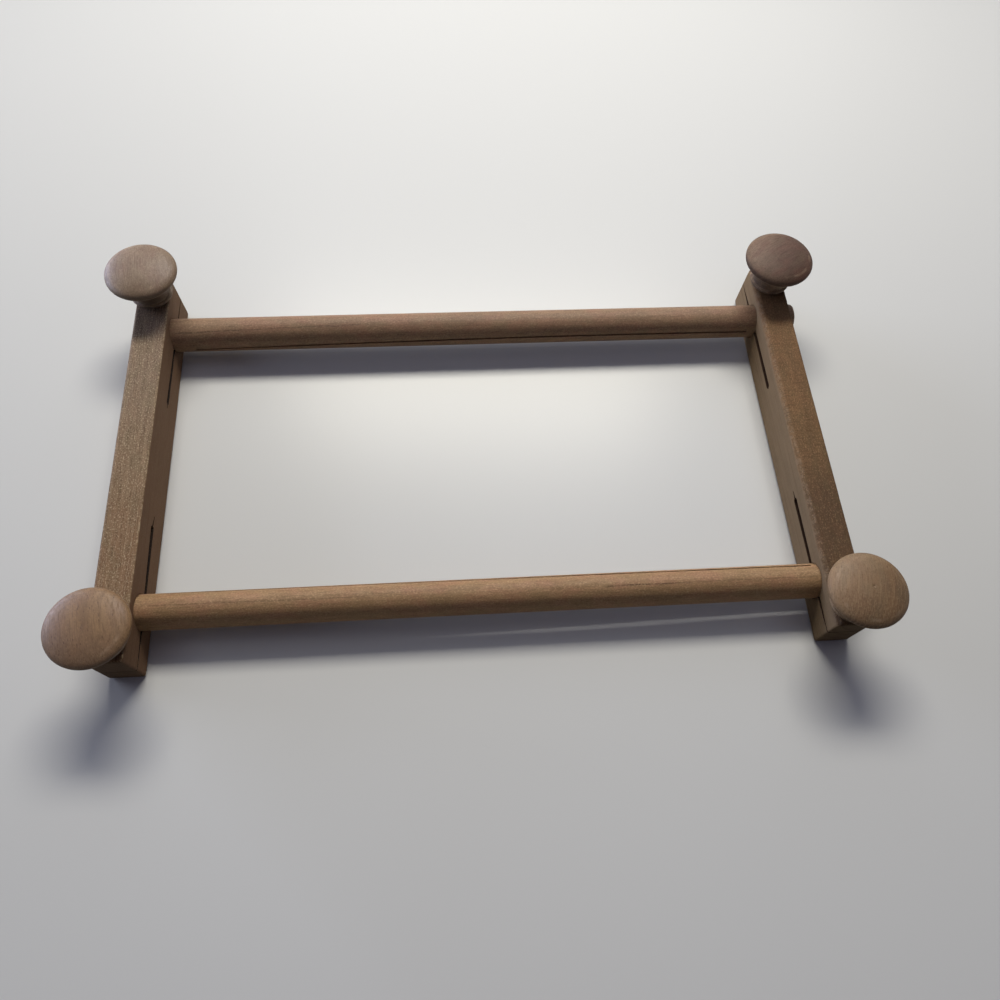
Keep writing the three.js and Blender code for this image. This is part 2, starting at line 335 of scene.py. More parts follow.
def metalMaterial(name, look):
    tree = newMaterial(name, Metallic=1.0)
    scaled = {0: tree.here, "Scale": 1 / mm}
    tree.grain = tree.node("ShaderNodeVectorMath", {"operation": "SCALE"}, scaled, "Vector")
    stain = tree.pattern(*metalGrain["stains"])
    brushed = tree.noise(tree.grain, *metalGrain["brushing"])
    colour = tree.mix(stain, linear(*look["colour"]), linear(*look["stain"]))
    roughness = stain * metalGrain["stainRoughness"] + (brushed - 0.5) * metalGrain["brushRoughness"]
    return finishMaterial(tree, colour, roughness + look["roughness"], brushed, metalGrain)


zinc = metalMaterial("brightZinc", metals["zinc"])
brass = metalMaterial("turnedBrass", metals["brass"])
print("metals mixed")


# Meshes

finish = {"sharpAngle": 32, "weight": 80}  # degrees past which an edge is sharp, and how much size weighs


def newObject(name, data):
    made = bpy.data.objects.new(name, data)
    bpy.context.scene.collection.objects.link(made)
    return made


def shapedMesh(holder):  # the mesh of an object with its modifiers applied
    return bpy.data.meshes.new_from_object(holder.evaluated_get(bpy.context.evaluated_depsgraph_get()))


def meshFrom(work, name):
    mesh = bpy.data.meshes.new(name)
    work.to_mesh(mesh)
    work.free()
    return mesh


def finishPiece(name, mesh, material, body, node, sharpAngle=finish["sharpAngle"]):
    piece = newObject(name, mesh)
    work = bmesh.new()
    work.from_mesh(mesh)
    bmesh.ops.recalc_face_normals(work, faces=work.faces)
    for face in work.faces:
        face.smooth = True
    for edge in work.edges:
        edge.smooth = edge.calc_face_angle(0) < math.radians(sharpAngle)
    work.to_mesh(mesh)
    work.free()
    mesh.materials.clear()
    mesh.materials.append(material)
    weighting = piece.modifiers.new("weighting", "WEIGHTED_NORMAL")
    weighting.keep_sharp = True
    weighting.weight = finish["weight"]
    piece.data = shapedMesh(piece)
    piece.modifiers.clear()
    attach(piece, body)
    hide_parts(node)


def middleOf(node):
    low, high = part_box(node)
    return (low + high) / 2, high - low


def footOf(middle, size):
    return Vector((middle.x, middle.y, middle.z - size.z / 2))


def roundIn(depth, radius):  # how far a rounded edge lies in from its face, at a depth below the next face
    reach = max(radius - depth, 0)
    return radius - math.sqrt(radius ** 2 - reach ** 2)


def spread(start, stop, count):
    return [start + (stop - start) * i / (count - 1) for i in range(count)]


def arcPoints(centre, radii, start, stop, count):
    angles = spread(start, stop, count)
    return [(centre[0] + radii[0] * math.cos(a), centre[1] + radii[1] * math.sin(a)) for a in angles]


def joinRings(work, first, second):  # a band of faces between two closed rings of points
    for i in range(len(first)):
        j = (i + 1) % len(first)
        work.faces.new((first[i], first[j], second[j], second[i]))


# Turned pieces: a tree revolves a profile and can square it or cut a screw thread round it

turned = {"squareReach": 1.33, "weld": 0.0004}  # a squared corner's reach as a share, and millimetres
turningInputs = {
    "Profile": "Geometry", "Sides": "Int", "Thread Pitch": "Float", "Thread Depth": "Float",
    "Centre": "Vector", "Material": "Material",
}


def turningTree():
    group = bpy.data.node_groups.new("turnedPiece", "GeometryNodeTree")
    face = group.interface
    face.new_socket("Geometry", in_out="OUTPUT", socket_type="NodeSocketGeometry")
    for name, kind in turningInputs.items():
        face.new_socket(name, in_out="INPUT", socket_type="NodeSocket" + kind)
    tree = Tree(group)
    given = tree.node("NodeGroupInput").socket.node.outputs[:len(turningInputs)]
    profile, sidesCount, pitch, depth, centre, material = [Signal(tree, socket) for socket in given]

    count = tree.node("GeometryNodeAttributeDomainSize", {}, {"Geometry": profile}, "Point Count")
    columns = sidesCount + 1
    grid = tree.node("GeometryNodeMeshGrid", {}, {"Vertices X": count, "Vertices Y": columns})
    index = tree.node("GeometryNodeInputIndex")
    row = tree.maths("FLOOR", index / columns)
    angle = (index - row * columns) * fullTurn / sidesCount

    def sample(value, kind="FLOAT"):
        settings = {"data_type": kind, "domain": "POINT"}
        sockets = {"Geometry": profile, "Value": value, "Index": row}
        return tree.node("GeometryNodeSampleIndex", settings, sockets)

    def marked(name):
        return sample(tree.node("GeometryNodeInputNamedAttribute", {"data_type": "FLOAT"}, {"Name": name}))

    point = sample(tree.node("GeometryNodeInputPosition"), "FLOAT_VECTOR")
    height = tree.axis(point, "Z")
    cosine = tree.maths("COSINE", angle)
    sine = tree.maths("SINE", angle)
    toSquare = 1 / tree.maths("MAXIMUM", abs(cosine), abs(sine))
    squared = tree.maths("MINIMUM", toSquare, turned["squareReach"])
    tooth = abs(((height / pitch - angle / fullTurn) % 1.0) * 2 - 1)
    radius = tree.axis(point, "X")
    radius = radius * (1 + marked("square") * (squared - 1)) - marked("thread") * depth * tooth
    around = tree.node("ShaderNodeCombineXYZ", {}, {"X": radius * cosine, "Y": radius * sine, "Z": height})
    moved = {"Geometry": grid, "Position": tree.vector("ADD", around, centre)}
    surface = tree.node("GeometryNodeSetPosition", {}, moved)
    welding = {"Geometry": surface, "Distance": turned["weld"] * mm}
    welded = tree.node("GeometryNodeMergeByDistance", {}, welding)
    outward = tree.node("GeometryNodeFlipFaces", {}, {"Mesh": welded})
    realised = tree.node("GeometryNodeRealizeInstances", {}, {"Geometry": outward})
    finished = tree.node("GeometryNodeSetMaterial", {}, {"Geometry": realised, "Material": material})
    tree.node("NodeGroupOutput", {}, {0: finished})
    return group


turning = turningTree()
turningSockets = {s.name: s.identifier for s in turning.interface.items_tree if s.in_out == "INPUT"}


def turnedMesh(name, profile, centre, material, sidesCount, pitch=1.0, threadDepth=0.0, **ranges):
    # profile is a list of radius and height in millimetres; thread and square may be ranges of its points
    strip = bpy.data.meshes.new(name + "Profile")
    edges = [(i, i + 1) for i in range(len(profile) - 1)]
    strip.from_pydata([(r * mm, 0, z * mm) for r, z in profile], edges, [])
    for mark in ("thread", "square"):
        first, last = ranges.get(mark, (0, -1))
        values = [1.0 if first <= i <= last else 0.0 for i in range(len(profile))]
        strip.attributes.new(mark, "FLOAT", "POINT").data.foreach_set("value", values)
    holder = newObject(name + "Profile", strip)
    modifier = holder.modifiers.new("turning", "NODES")
    modifier.node_group = turning
    values = {
        "Sides": sidesCount, "Thread Pitch": pitch * mm, "Thread Depth": threadDepth * mm,
        "Centre": centre, "Material": material,
    }
    for socket, value in values.items():
        modifier[turningSockets[socket]] = value
    mesh = shapedMesh(holder)
    mesh.name = name
    bpy.data.objects.remove(holder)
    return mesh


def turnPiece(name, body, node, slot, material, look, profile, **ranges):
    mesh = turnedMesh(name, profile, footOf(*middleOf(node)), material, look["sides"],
                      look.get("pitch", 1.0), look.get("threadDepth", 0.0), **ranges)
    finishPiece(name, mesh, material, body, node, look.get("sharpAngle", finish["sharpAngle"]))


def threadedPoints(start, wall, plain):  # the range of a wall's points less the plain ones at either end
    return start + plain[0], start + len(wall) - 1 - plain[1]


# Side bars

sideBar = {  # millimetres
    "kerfLength": 76.6, "kerfRise": {"left": 0.0, "right": 2.0}, "kerfWobble": 0.06, "rootRounding": 1.3,
    "kerfs": {  # width at its root, at the rod and at its mouth; how far the mouth strays and the crack leans
        # down; the length of the crack, and how much longer than the others the kerf is
        "front_left": {"root": 3.1, "rod": 2.1, "mouth": 0.4, "stray": 2.4, "lean": 1.0, "crack": 6.5},
        "back_left": {"root": 2.6, "rod": 1.7, "mouth": 0.15, "stray": 0.4, "crack": 3.2},
        "front_right": {"root": 3.0, "rod": 2.4, "mouth": 0.6, "crack": 5.0},
        "back_right": {"root": 3.0, "rod": 2.6, "mouth": 0.15, "crack": 0.8, "longer": 3.0},
    },
    "plainKerf": {"stray": 0.0, "lean": 0.0, "longer": 0.0},  # where a kerf names nothing else
    "crackWidth": 1.0, "crackTip": 0.3,  # the tip's share of the crack's width
    "boreRoom": 0.3, "sawnEdge": 0.15, "endRadius": {"front": 1.4, "back": 2.4}, "cornerEase": 0.7,
    "arrisRadius": 2.0, "innerTopRadius": {"left": 0.9, "right": 3.2}, "wear": 0.05,
    "holeRoom": 0.3, "headRoom": 0.5, "neckRoom": 0.3, "counterbore": 3.8, "overcut": 1, "holeSides": 48,
    "pace": {"kerf": 0.15, "crack": 0.3, "wear": 0.04},  # how fast each unevenness changes along the bar
    "seeds": {"side": 7, "row": 3, "crack": 9, "wear": 5},
    "points": {
        "mouth": 12, "bore": 48, "kerf": 48, "root": 9, "crack": 7,
        "corner": 6, "end": 6, "edge": 110, "across": 6,
    },
    "nearFace": [0, 0.04, 0.1, 0.15, 0.3, 0.5, 0.8, 1.2, 1.7, 2.3, 3.2],  # depths of its outlines
    "marks": {  # a pattern has a noise's size, the values where it starts and is full, and its detail
        "ageing": {  # the tint that each end of a bar has taken on, its strength, and where it starts
            "left": {"front": ((124, 93, 63), 0.55, 20), "back": ((126, 112, 97), 0.4, 20)},
            "right": {"front": ((74, 57, 42), 0.8, 20), "back": ((112, 84, 58), 0.4, 10)},
        },
        "ageingStray": ((12, 12, 30), 40), "ageingFade": (25, 35),
        "sideFacing": (0.75, 0.2), "sideLines": ((0.9, 0.9, 34), 0.48, 0.68, 3.0), "sideLineStrength": 0.22,
        # the arris tint is partly wear and partly a painted highlight along the inner top arris
        "arrisWearAndHighlight": {"left": ((168, 148, 118), 0.7), "right": ((130, 113, 92), 0.4)},
        "arrisWearAndHighlightPatches": ((2, 2, 2.5), 0.45, 0.6), "arrisFacing": (0.15, 0.4),
        # painted shade: the kerf's walls are tinted dark, standing for the shade deep inside the slot
        "kerfShade": {"left": (18, 11, 8), "right": (50, 34, 24)}, "kerfShadeDepth": 2.6, "kerfShadeEdge": 0.2,
        "kerfShadeFacing": (0.35, 0.6), "kerfShadeStrength": 0.97, "kerfShadeCover": 0.9,
    },
}
clampBolt = {  # millimetres
    "diameter": 6.2, "neckSide": 6.3, "neckHeight": 4.0, "neckEase": 0.3, "headDiameter": 14.4,
    "headHeight": 3.2, "headRim": 0.7, "headEase": 0.2, "tipChamfer": 0.8,
    "pitch": 1.27, "threadDepth": 0.62, "threadLength": 24.0,
    "headPoints": 16, "threadPoints": 150, "plainPoints": (4, 1), "sides": 40, "sharpAngle": 40,
}
boreRadius = middleOf("front_rod")[1].y / mm / 2 + sideBar["boreRoom"]
meetingRounds = 3  # each round comes closer to where a wall of a kerf runs into the bore


def unevenness(*place):
    return noise.noise(Vector(place))


def kerfPath(side, row, end, boreY, bore, eased):  # from the lower lip in to the crack's tip and out again
    look = {**sideBar["plainKerf"], **sideBar["kerfs"][f"{row}_{side}"]}
    points = sideBar["points"]
    seeds = sideBar["seeds"]
    pace = sideBar["pace"]
    rise = sideBar["kerfRise"][side]
    rounding = sideBar["rootRounding"]
    tipShare = sideBar["crackTip"]
    crackHalf = sideBar["crackWidth"] / 2
    seed = sides.index(side) * seeds["side"] + rows.index(row) * seeds["row"]
    root = end + eased["end"] - sideBar["kerfLength"] - look["longer"]
    tip = root - look["crack"]

    def halfWidth(y, face):  # narrows a little to the rod and is pinched shut by the bolt beyond it
        if y < root:
            return crackHalf * (tipShare + (1 - tipShare) * (y - tip) / (root - tip))
        toRod = min(max((y - root) / (boreY - root), 0), 1)
        pinch = max((y - boreY) / (end - boreY), 0)
        full = look["root"] + (look["rod"] - look["root"]) * toRod
        full = (full + (look["mouth"] - full) * pinch) / 2
        full += sideBar["kerfWobble"] * unevenness(y * pace["kerf"], seed, face) + eased["sawn"]
        if y < root + rounding:
            part = math.sqrt(max(1 - ((root + rounding - y) / rounding) ** 2, 0))
            return crackHalf + (full - crackHalf) * part
        return full

    def middle(y):
        toTip = max(root - y, 0) / (root - tip)
        strayed = look["stray"] * max(y - root, 0) / (end - root)
        return rise - strayed + (unevenness(y * pace["crack"], seed, seeds["crack"]) - look["lean"]) * toTip

    def wallPoint(y, face):
        return y, middle(y) + face * halfWidth(y, face)

    def meeting(face, toEnd):  # angle round the bore at which one wall of the kerf runs into it
        angle = 0
        for _ in range(meetingRounds):
            height = wallPoint(boreY + toEnd * bore * math.cos(angle), face)[1]
            angle = math.asin(height / bore)
        return angle

    def wall(face):  # the points of one wall of the kerf, from the mouth to the crack's tip
        outer = meeting(face, 1)
        inner = meeting(face, -1)
        outside = spread(end, boreY + bore * math.cos(outer), points["mouth"])[:-1]
        bored = arcPoints((boreY, 0), (bore, bore), outer, face * math.pi - inner, points["bore"])
        inside = spread(boreY - bore * math.cos(inner), root + rounding, points["kerf"])[1:]
        inside += spread(root + rounding, root, points["root"])[1:]
        inside += spread(root, tip, points["crack"])[1:-1]
        return [wallPoint(y, face) for y in outside] + bored + [wallPoint(y, face) for y in inside]

    return wall(-1) + [(tip, middle(tip))] + wall(1)[::-1]


def barRing(side, size, bores, depthIn, depthOut):  # the outline of a bar, seen from its side, at one depth
    look = sideBar
    points = look["points"]
    sawn = max(roundIn(depthIn, look["sawnEdge"]), roundIn(depthOut, look["sawnEdge"]))
    seed = sides.index(side) * look["seeds"]["wear"]

    def edge(y, face):  # height of the top or the underside at y, worn unevenly along its arrises
        worn = 1 + look["wear"] * unevenness(y * look["pace"]["wear"], seed, face)
        innerRadius = look["innerTopRadius"][side] if face > 0 else look["arrisRadius"]
        inner = roundIn(depthIn, innerRadius * worn)
        outer = roundIn(depthOut, look["arrisRadius"] * worn)
        return face * (size.z / 2 - max(inner, outer))

    def endHalf(row, sign):  # from the bottom corner, round the kerf, to the top corner
        radius = look["endRadius"][row]
        easedEnd = max(roundIn(depthIn, radius), roundIn(depthOut, radius))
        end = size.y / 2 - easedEnd
        corner = radius - look["cornerEase"] * easedEnd
        low = edge(sign * end, -1) + corner
        high = edge(sign * end, 1) - corner
        eased = {"end": easedEnd, "sawn": sawn}
        kerf = kerfPath(side, row, end, bores[row], boreRadius + sawn, eased)
        outline = arcPoints((end - corner, low), (corner, -corner), quarter, 0, points["corner"])
        outline += [(end, z) for z in spread(low, kerf[0][1], points["end"])[1:-1]]
        outline += kerf
        outline += [(end, z) for z in spread(kerf[-1][1], high, points["end"])[1:-1]]
        outline += arcPoints((end - corner, high), (corner, corner), 0, quarter, points["corner"])
        return [(sign * y, z) for y, z in outline]

    back = endHalf("back", 1)
    front = endHalf("front", -1)
    along = spread(front[0][0], back[0][0], points["edge"])[1:-1]
    ring = [(y, edge(y, -1)) for y in along] + back
    ring += [(y, edge(y, 1)) for y in reversed(along)]
    ring += reversed(front)
    return ring


def boltHole(name, centre, barHeight):  # cutter for a bolt: counterbore, square neck pocket and through hole
    look = sideBar
    over = look["overcut"]
    head = clampBolt["headDiameter"] / 2 + look["headRoom"]
    hole = clampBolt["diameter"] / 2 + look["holeRoom"]
    neck = clampBolt["neckSide"] / 2 + look["neckRoom"]
    seat = look["counterbore"]
    shoulder = seat + clampBolt["neckHeight"] + look["neckRoom"]
    profile = [(0, -over), (head, -over), (head, seat)]
    square = (len(profile), len(profile) + 1)
    profile += [(neck, seat), (neck, shoulder), (hole, shoulder)]
    profile += [(hole, barHeight + over), (0, barHeight + over)]
    return newObject(name, turnedMesh(name, profile, centre, None, look["holeSides"], square=square))


def barMarks(side, middle):
    def prepare(tree):
        look = sideBar["marks"]
        wood = woods[side + "Bar"]
        across = tree.away(middle)
        sideways = abs(tree.axis(tree.normal, "X"))
        upright = abs(tree.axis(tree.normal, "Z"))
        onSide = tree.smooth(upright, *look["sideFacing"])
        before, after = look["ageingFade"]
        for row, sign in (("front", -1), ("back", 1)):
            tint, strength, start = look["ageing"][side][row]
            toEnd = tree.axis(across, "Y") / mm * sign + tree.stray(*look["ageingStray"])
            tree.tint(tree.smooth(toEnd, start - before, start + after) * strength, tint)
        tree.rough = 1 - onSide * wood["sideShare"]  # the sides are planed smoother than top and underside
        # the sides' own colour is partly the planed wood's tone, partly painted shade on the left bar and
        # painted light on the right bar
        tree.tint(onSide * wood["sideShare"], wood["side"])
        tree.tint(tree.pattern(*look["sideLines"]) * onSide * look["sideLineStrength"], wood["deep"])
        inward = tree.axis(across, "X") / mm * (1 if side == "left" else -1)
        arrisWearAndHighlightMask = tree.smooth(sideways * upright, *look["arrisFacing"]) * tree.smooth(inward, 0, 1)
        pale, strength = look["arrisWearAndHighlight"][side]  # the inner arris is worn pale by hands, and the same pale tint is a painted highlight along its rounding
        tree.tint(arrisWearAndHighlightMask * tree.pattern(*look["arrisWearAndHighlightPatches"]) * strength, pale)
        # painted shade: the kerf's walls are tinted near black, as the shade inside the slot
        fromKerf = abs(tree.axis(across, "Z") / mm - sideBar["kerfRise"][side])
        sawn = tree.smooth(fromKerf, look["kerfShadeDepth"] + look["kerfShadeEdge"], look["kerfShadeDepth"])
        sawn = sawn * tree.smooth(upright, *look["kerfShadeFacing"])
        tree.tint(sawn * look["kerfShadeStrength"], look["kerfShade"][side])
        tree.rough = tree.rough * (1 - sawn * look["kerfShadeCover"])
    return prepare


def makeSideBar(side):
    look = sideBar
    node = side + "_side_bar"
    middle, size = middleOf(node)
    size = size / mm
    inward = 1 if side == "left" else -1
    bores = {row: abs(middleOf(row + "_rod")[0].y) / mm for row in rows}
    near = look["nearFace"]
    depths = near + spread(near[-1], size.x - near[-1], look["points"]["across"])[1:-1]
    depths += [size.x - depth for depth in reversed(near)]
    work = bmesh.new()
    layers = []
    for depth in depths:
        x = inward * (size.x / 2 - depth)
        ring = barRing(side, size, bores, depth, size.x - depth)
        layers.append([work.verts.new(Vector((x, y, z)) * mm + middle) for y, z in ring])
    for first, second in zip(layers, layers[1:]):
        joinRings(work, first, second)
    work.faces.new(layers[0])
    work.faces.new(layers[-1])
    bmesh.ops.recalc_face_normals(work, faces=work.faces)
    blank = newObject("blank", meshFrom(work, side + "SideBar"))
    cutters = []
    for row in rows:
        bolt = middleOf(f"{row}_{side}_bolt")[0]
        centre = Vector((bolt.x, bolt.y, middle.z - size.z * mm / 2))
        cutters.append(boltHole(f"{row}{side}Hole", centre, size.z))
        cut = blank.modifiers.new("hole", "BOOLEAN")
        cut.operation = "DIFFERENCE"
        cut.solver = "EXACT"
        cut.object = cutters[-1]
    bored = shapedMesh(blank)
    for spare in [blank, *cutters]:
        bpy.data.objects.remove(spare)

    material = woodMaterial(side + "BarWood", woods[side + "Bar"], middle, (0, 1, 0), barMarks(side, middle))
    finishPiece(side + "SideBar", bored, material, side + "_frame", node)


for side in sides:
    makeSideBar(side)
print("side bars sawn and bored")


# Rods

rod = {  # millimetres, and degrees round the rod from +Y towards +Z
    # a slit has a tilt at its middle, a twist and a bow over its length, and a shift along the rod
    "slitLength": 325.0, "slitWidth": 1.0, "slitEdge": 0.25, "slitEnd": (0.3, 0.8), "endChamfer": 1.2,
    "step": 4.0, "points": {"corner": 3, "skin": 40, "flat": 3, "chamfer": 6, "end": 6},
    "front": {
        "tilt": 40, "twist": 16, "bow": 0, "shift": 3.0,
        "grainLines": [  # where it starts and ends along the rod, its angle there, and how dark it is
            (-168, -60, 91, 93, 0.5), (-60, 54, 93, 96, 0.12),
            (54, 102, 96, 98, 0.95), (102, 178, 96, 97, 0.4),
        ],
    },
    "back": {
        "tilt": -7, "twist": -22, "bow": 40, "shift": 1.0,
        "grainLines": [(-172, -64, 124, 108, 0.7), (-64, 30, 108, 106, 0.15)],
    },
    "lineStray": ((1000, 1000, 16), 9, 3.0), "lineBreaks": ((1000, 1000, 2.5), 0.35, 0.5),
    "lineEdge": (0.5, 0.15), "lineFade": 4, "lineFaintest": 0.4,
}


def rodHalf(radius, turn, width, rounding, flipped):  # half of a slit section: its skin, then its sawn flat
    points = rod["points"]
    gap = math.asin(width / 2 / radius)
    soft = rounding / radius
    corner = Vector((radius * math.cos(gap), width / 2))
    skinStart = Vector((radius * math.cos(gap + soft), radius * math.sin(gap + soft)))
    flatStart = corner - Vector((rounding, 0))
    bend = []
    for t in spread(0, 1, points["corner"] + 1)[:-1]:
        bend.append(flatStart * (1 - t) ** 2 + corner * 2 * t * (1 - t) + skinStart * t ** 2)
    arc = arcPoints((0, 0), (radius, radius), gap + soft, math.pi - gap - soft, points["skin"])
    skin = bend + [Vector(p) for p in arc]
    skin += [Vector((-p.x, p.y)) for p in reversed(bend)]
    flat = [Vector((x, width / 2)) for x in spread(skin[-1].x, skin[0].x, points["flat"] + 2)[1:-1]]
    spin = Matrix.Rotation(turn + (math.pi if flipped else 0), 2)
    return [spin @ p for p in skin], [spin @ p for p in flat]


def grainLines(row, radius):  # dark lines of late wood that run nearly along a rod
    def prepare(tree):
        degree = math.radians(1)
        angle = tree.maths("ARCTAN2", tree.axis(tree.stick, "Y"), tree.axis(tree.stick, "X")) / degree
        along = tree.axis(tree.stick, "Z")
        stray = tree.stray(*rod["lineStray"])
        faintest = rod["lineFaintest"]
        broken = tree.pattern(*rod["lineBreaks"]) * (1 - faintest) + faintest
        fade = rod["lineFade"]
        for start, stop, first, last, strength in rod[row]["grainLines"]:
            line = (along - start) * ((last - first) / (stop - start)) + first + stray
            off = abs(angle - line) * (degree * radius)
            within = tree.smooth(along, start, start + fade) * tree.smooth(along, stop, stop - fade)
            dark = tree.smooth(off, *rod["lineEdge"]) * within * broken
            tree.tint(dark * strength, woods[row + "Rod"]["deep"])
    return prepare


def makeRod(row):
    look = rod
    node = row + "_rod"
    middle, size = middleOf(node)
    radius = size.y / 2 / mm
    half = size.x / 2 / mm
    slitHalf = look["slitLength"] / 2
    shift = look[row]["shift"]
    work = bmesh.new()

    def vertex(x, p):
        return work.verts.new(Vector((x, *p)) * mm + middle)

    def section(x, scale=1.0, rounding=0.0):
        share = x / look["slitLength"]
        turn = math.radians(look[row]["tilt"] + look[row]["twist"] * share + look[row]["bow"] * share ** 2)
        halves = []
        for flipped in (False, True):
            parts = rodHalf(radius, turn, look["slitWidth"], rounding, flipped)
            halves.append([[vertex(x, p * scale) for p in part] for part in parts])
        return halves

    def ringOf(halves):
        return halves[0][0] + halves[1][0]

    def endWall(halves):
        (upperSkin, upperFlat), (lowerSkin, lowerFlat) = halves
        work.faces.new([upperSkin[-1], *upperFlat, upperSkin[0], lowerSkin[-1], *lowerFlat, lowerSkin[0]])

    def solidStretch(sign):  # from the rod's end to the slit, returns the section at the slit
        chamfer = look["endChamfer"]
        corner = (half - chamfer, radius - chamfer)
        bevel = arcPoints(corner, (chamfer, chamfer), 0, quarter, look["points"]["chamfer"])
        places = [(sign * x, r / radius) for x, r in bevel]
        straight = spread(half - chamfer, slitHalf + sign * shift, look["points"]["end"])[1:]
        places += [(sign * x, 1.0) for x in straight]
        sections = [section(x, scale) for x, scale in places]
        for halves in sections[:-1]:
            bmesh.ops.delete(work, geom=halves[0][1] + halves[1][1], context="VERTS")
        for first, second in zip(sections, sections[1:]):
            joinRings(work, ringOf(first), ringOf(second))
        work.faces.new(ringOf(sections[0]))
        endWall(sections[-1])
        return sections[-1]

    left = solidStretch(-1)
    right = solidStretch(1)
    near, far = look["slitEnd"]
    steps = round(look["slitLength"] / look["step"])
    places = [-slitHalf + near, -slitHalf + far]
    places += spread(-slitHalf, slitHalf, steps + 1)[1:-1]
    places += [slitHalf - far, slitHalf - near]
    slitSections = [left]
    for x in places:
        rounding = look["slitEdge"] * min(1, (slitHalf - abs(x)) / far)
        slitSections.append(section(x + shift, 1.0, rounding))
    slitSections.append(right)
    for first, second in zip(slitSections, slitSections[1:]):
        for firstHalf, secondHalf in zip(first, second):
            joinRings(work, firstHalf[0] + firstHalf[1], secondHalf[0] + secondHalf[1])
    mesh = meshFrom(work, row + "Rod")
    material = woodMaterial(row + "RodWood", woods[row + "Rod"], middle, (1, 0, 0), grainLines(row, radius))
    finishPiece(row + "Rod", mesh, material, node, node)


for row in rows:
    makeRod(row)
print("rods slit")


# Knobs, with the inserts in them

knob = {  # millimetres, above the flange's underside, and degrees
    "rimHeight": 15.3, "flangeDiameter": 23.2, "flangeThickness": 1.8, "neckDiameter": 19.0,
    "beadDiameter": 28.4, "beadHeight": 11.6, "beadThickness": 1.4,
    "boreDiameter": 9.9, "boreDepth": 15.0, "boreChamfer": 0.4,
    "dimpleRadius": 0.9, "dimpleCurve": ((0.6, 0.35), (0.25, 0.9)),  # shares of its radius and its depth
    "dimpleDepth": {"front_left": 0.05, "front_right": 0.3, "back_left": 0.05, "back_right": 0.05},
    "grainAngle": {"front_left": 102, "front_right": 76, "back_left": 97, "back_right": 32},  # from +X
    "points": {"flange": 13, "cove": 25, "bead": 11, "under": 17, "dome": 41}, "sides": 96,
    "toolMarks": ((1.3, 1, 1), 1.0), "toolDepth": 0.3,
    "paintedShading": {  # painted light and shade: the way each knob turns darker or paler, in degrees from +X, its tint and strength
        "front_left": ((-115, (98, 80, 72), 0.4),),
        "back_left": ((-15, (104, 84, 62), 0.5),),
        "front_right": ((-50, (84, 64, 50), 0.45), (130, (146, 124, 98), 0.4)),
        "back_right": ((-20, (66, 48, 40), 0.3), (160, (126, 106, 84), 0.65)),
    },
    "shadeStray": ((9, 9, 20), 10), "shadeReach": (-8, 16),
    # the pale tint of the painted highlight ring and of the painted light on flange and neck
    "paintedLightTint": (168, 146, 118), "paintedLightPatches": ((9, 9, 9), 0.45, 0.65, 1.0),
    "highlightRing": 16.2, "highlightRingEdge": (1.1, 0.2), "highlightRingStrength": 0.3,
    "flangePaintedLight": 0.5, "flangePaintedLightHeight": (2.6, 1.9), "neckPaintedLightFade": 2,
    "neckPaintedLight": {"back_left": 0.1, "back_right": 0.9},
}


def bezier(a, b, c, d, count):
    points = []
    for t in spread(0, 1, count):
        weights = ((1 - t) ** 3, 3 * t * (1 - t) ** 2, 3 * t * t * (1 - t), t ** 3)
        points.append(tuple(sum(w * p[i] for w, p in zip(weights, (a, b, c, d))) for i in (0, 1)))
    return points


def knobProfile(look, size, dimpleDepth):
    rim = size.x / 2
    rimHeight = look["rimHeight"]
    flangeTop = look["flangeThickness"]
    flangeRound = flangeTop / 2
    flange = look["flangeDiameter"] / 2 - flangeRound
    neck = look["neckDiameter"] / 2
    beadRound = look["beadThickness"] / 2
    shoulder = look["beadDiameter"] / 2 - beadRound
    beadBase = look["beadHeight"] - look["beadThickness"]
    bore = look["boreDiameter"] / 2
    chamfer = look["boreChamfer"]
    dimple = look["dimpleRadius"]
    count = look["points"]
    points = [(0, look["boreDepth"]), (bore, look["boreDepth"]), (bore, chamfer), (bore + chamfer, 0)]
    points += arcPoints((flange, flangeRound), (flangeRound, flangeRound), -quarter, quarter, count["flange"])
    cove = ((flange, flangeTop), (neck, flangeTop), (neck, beadBase), (shoulder, beadBase))
    points += bezier(*cove, count["cove"])[1:]
    beadCentre = (shoulder, beadBase + beadRound)
    points += arcPoints(beadCentre, (beadRound, beadRound), -quarter, quarter, count["bead"])[1:]
    under = (rim - shoulder, rimHeight - look["beadHeight"])
    points += arcPoints((shoulder, rimHeight), under, -quarter, 0, count["under"])[1:]
    dome = (rim - dimple, size.z - rimHeight)
    points += arcPoints((dimple, rimHeight), dome, 0, quarter, count["dome"])[1:]
    points += [(dimple * out, size.z - dimpleDepth * down) for out, down in look["dimpleCurve"]]
    points.append((0, size.z - dimpleDepth))
    return points


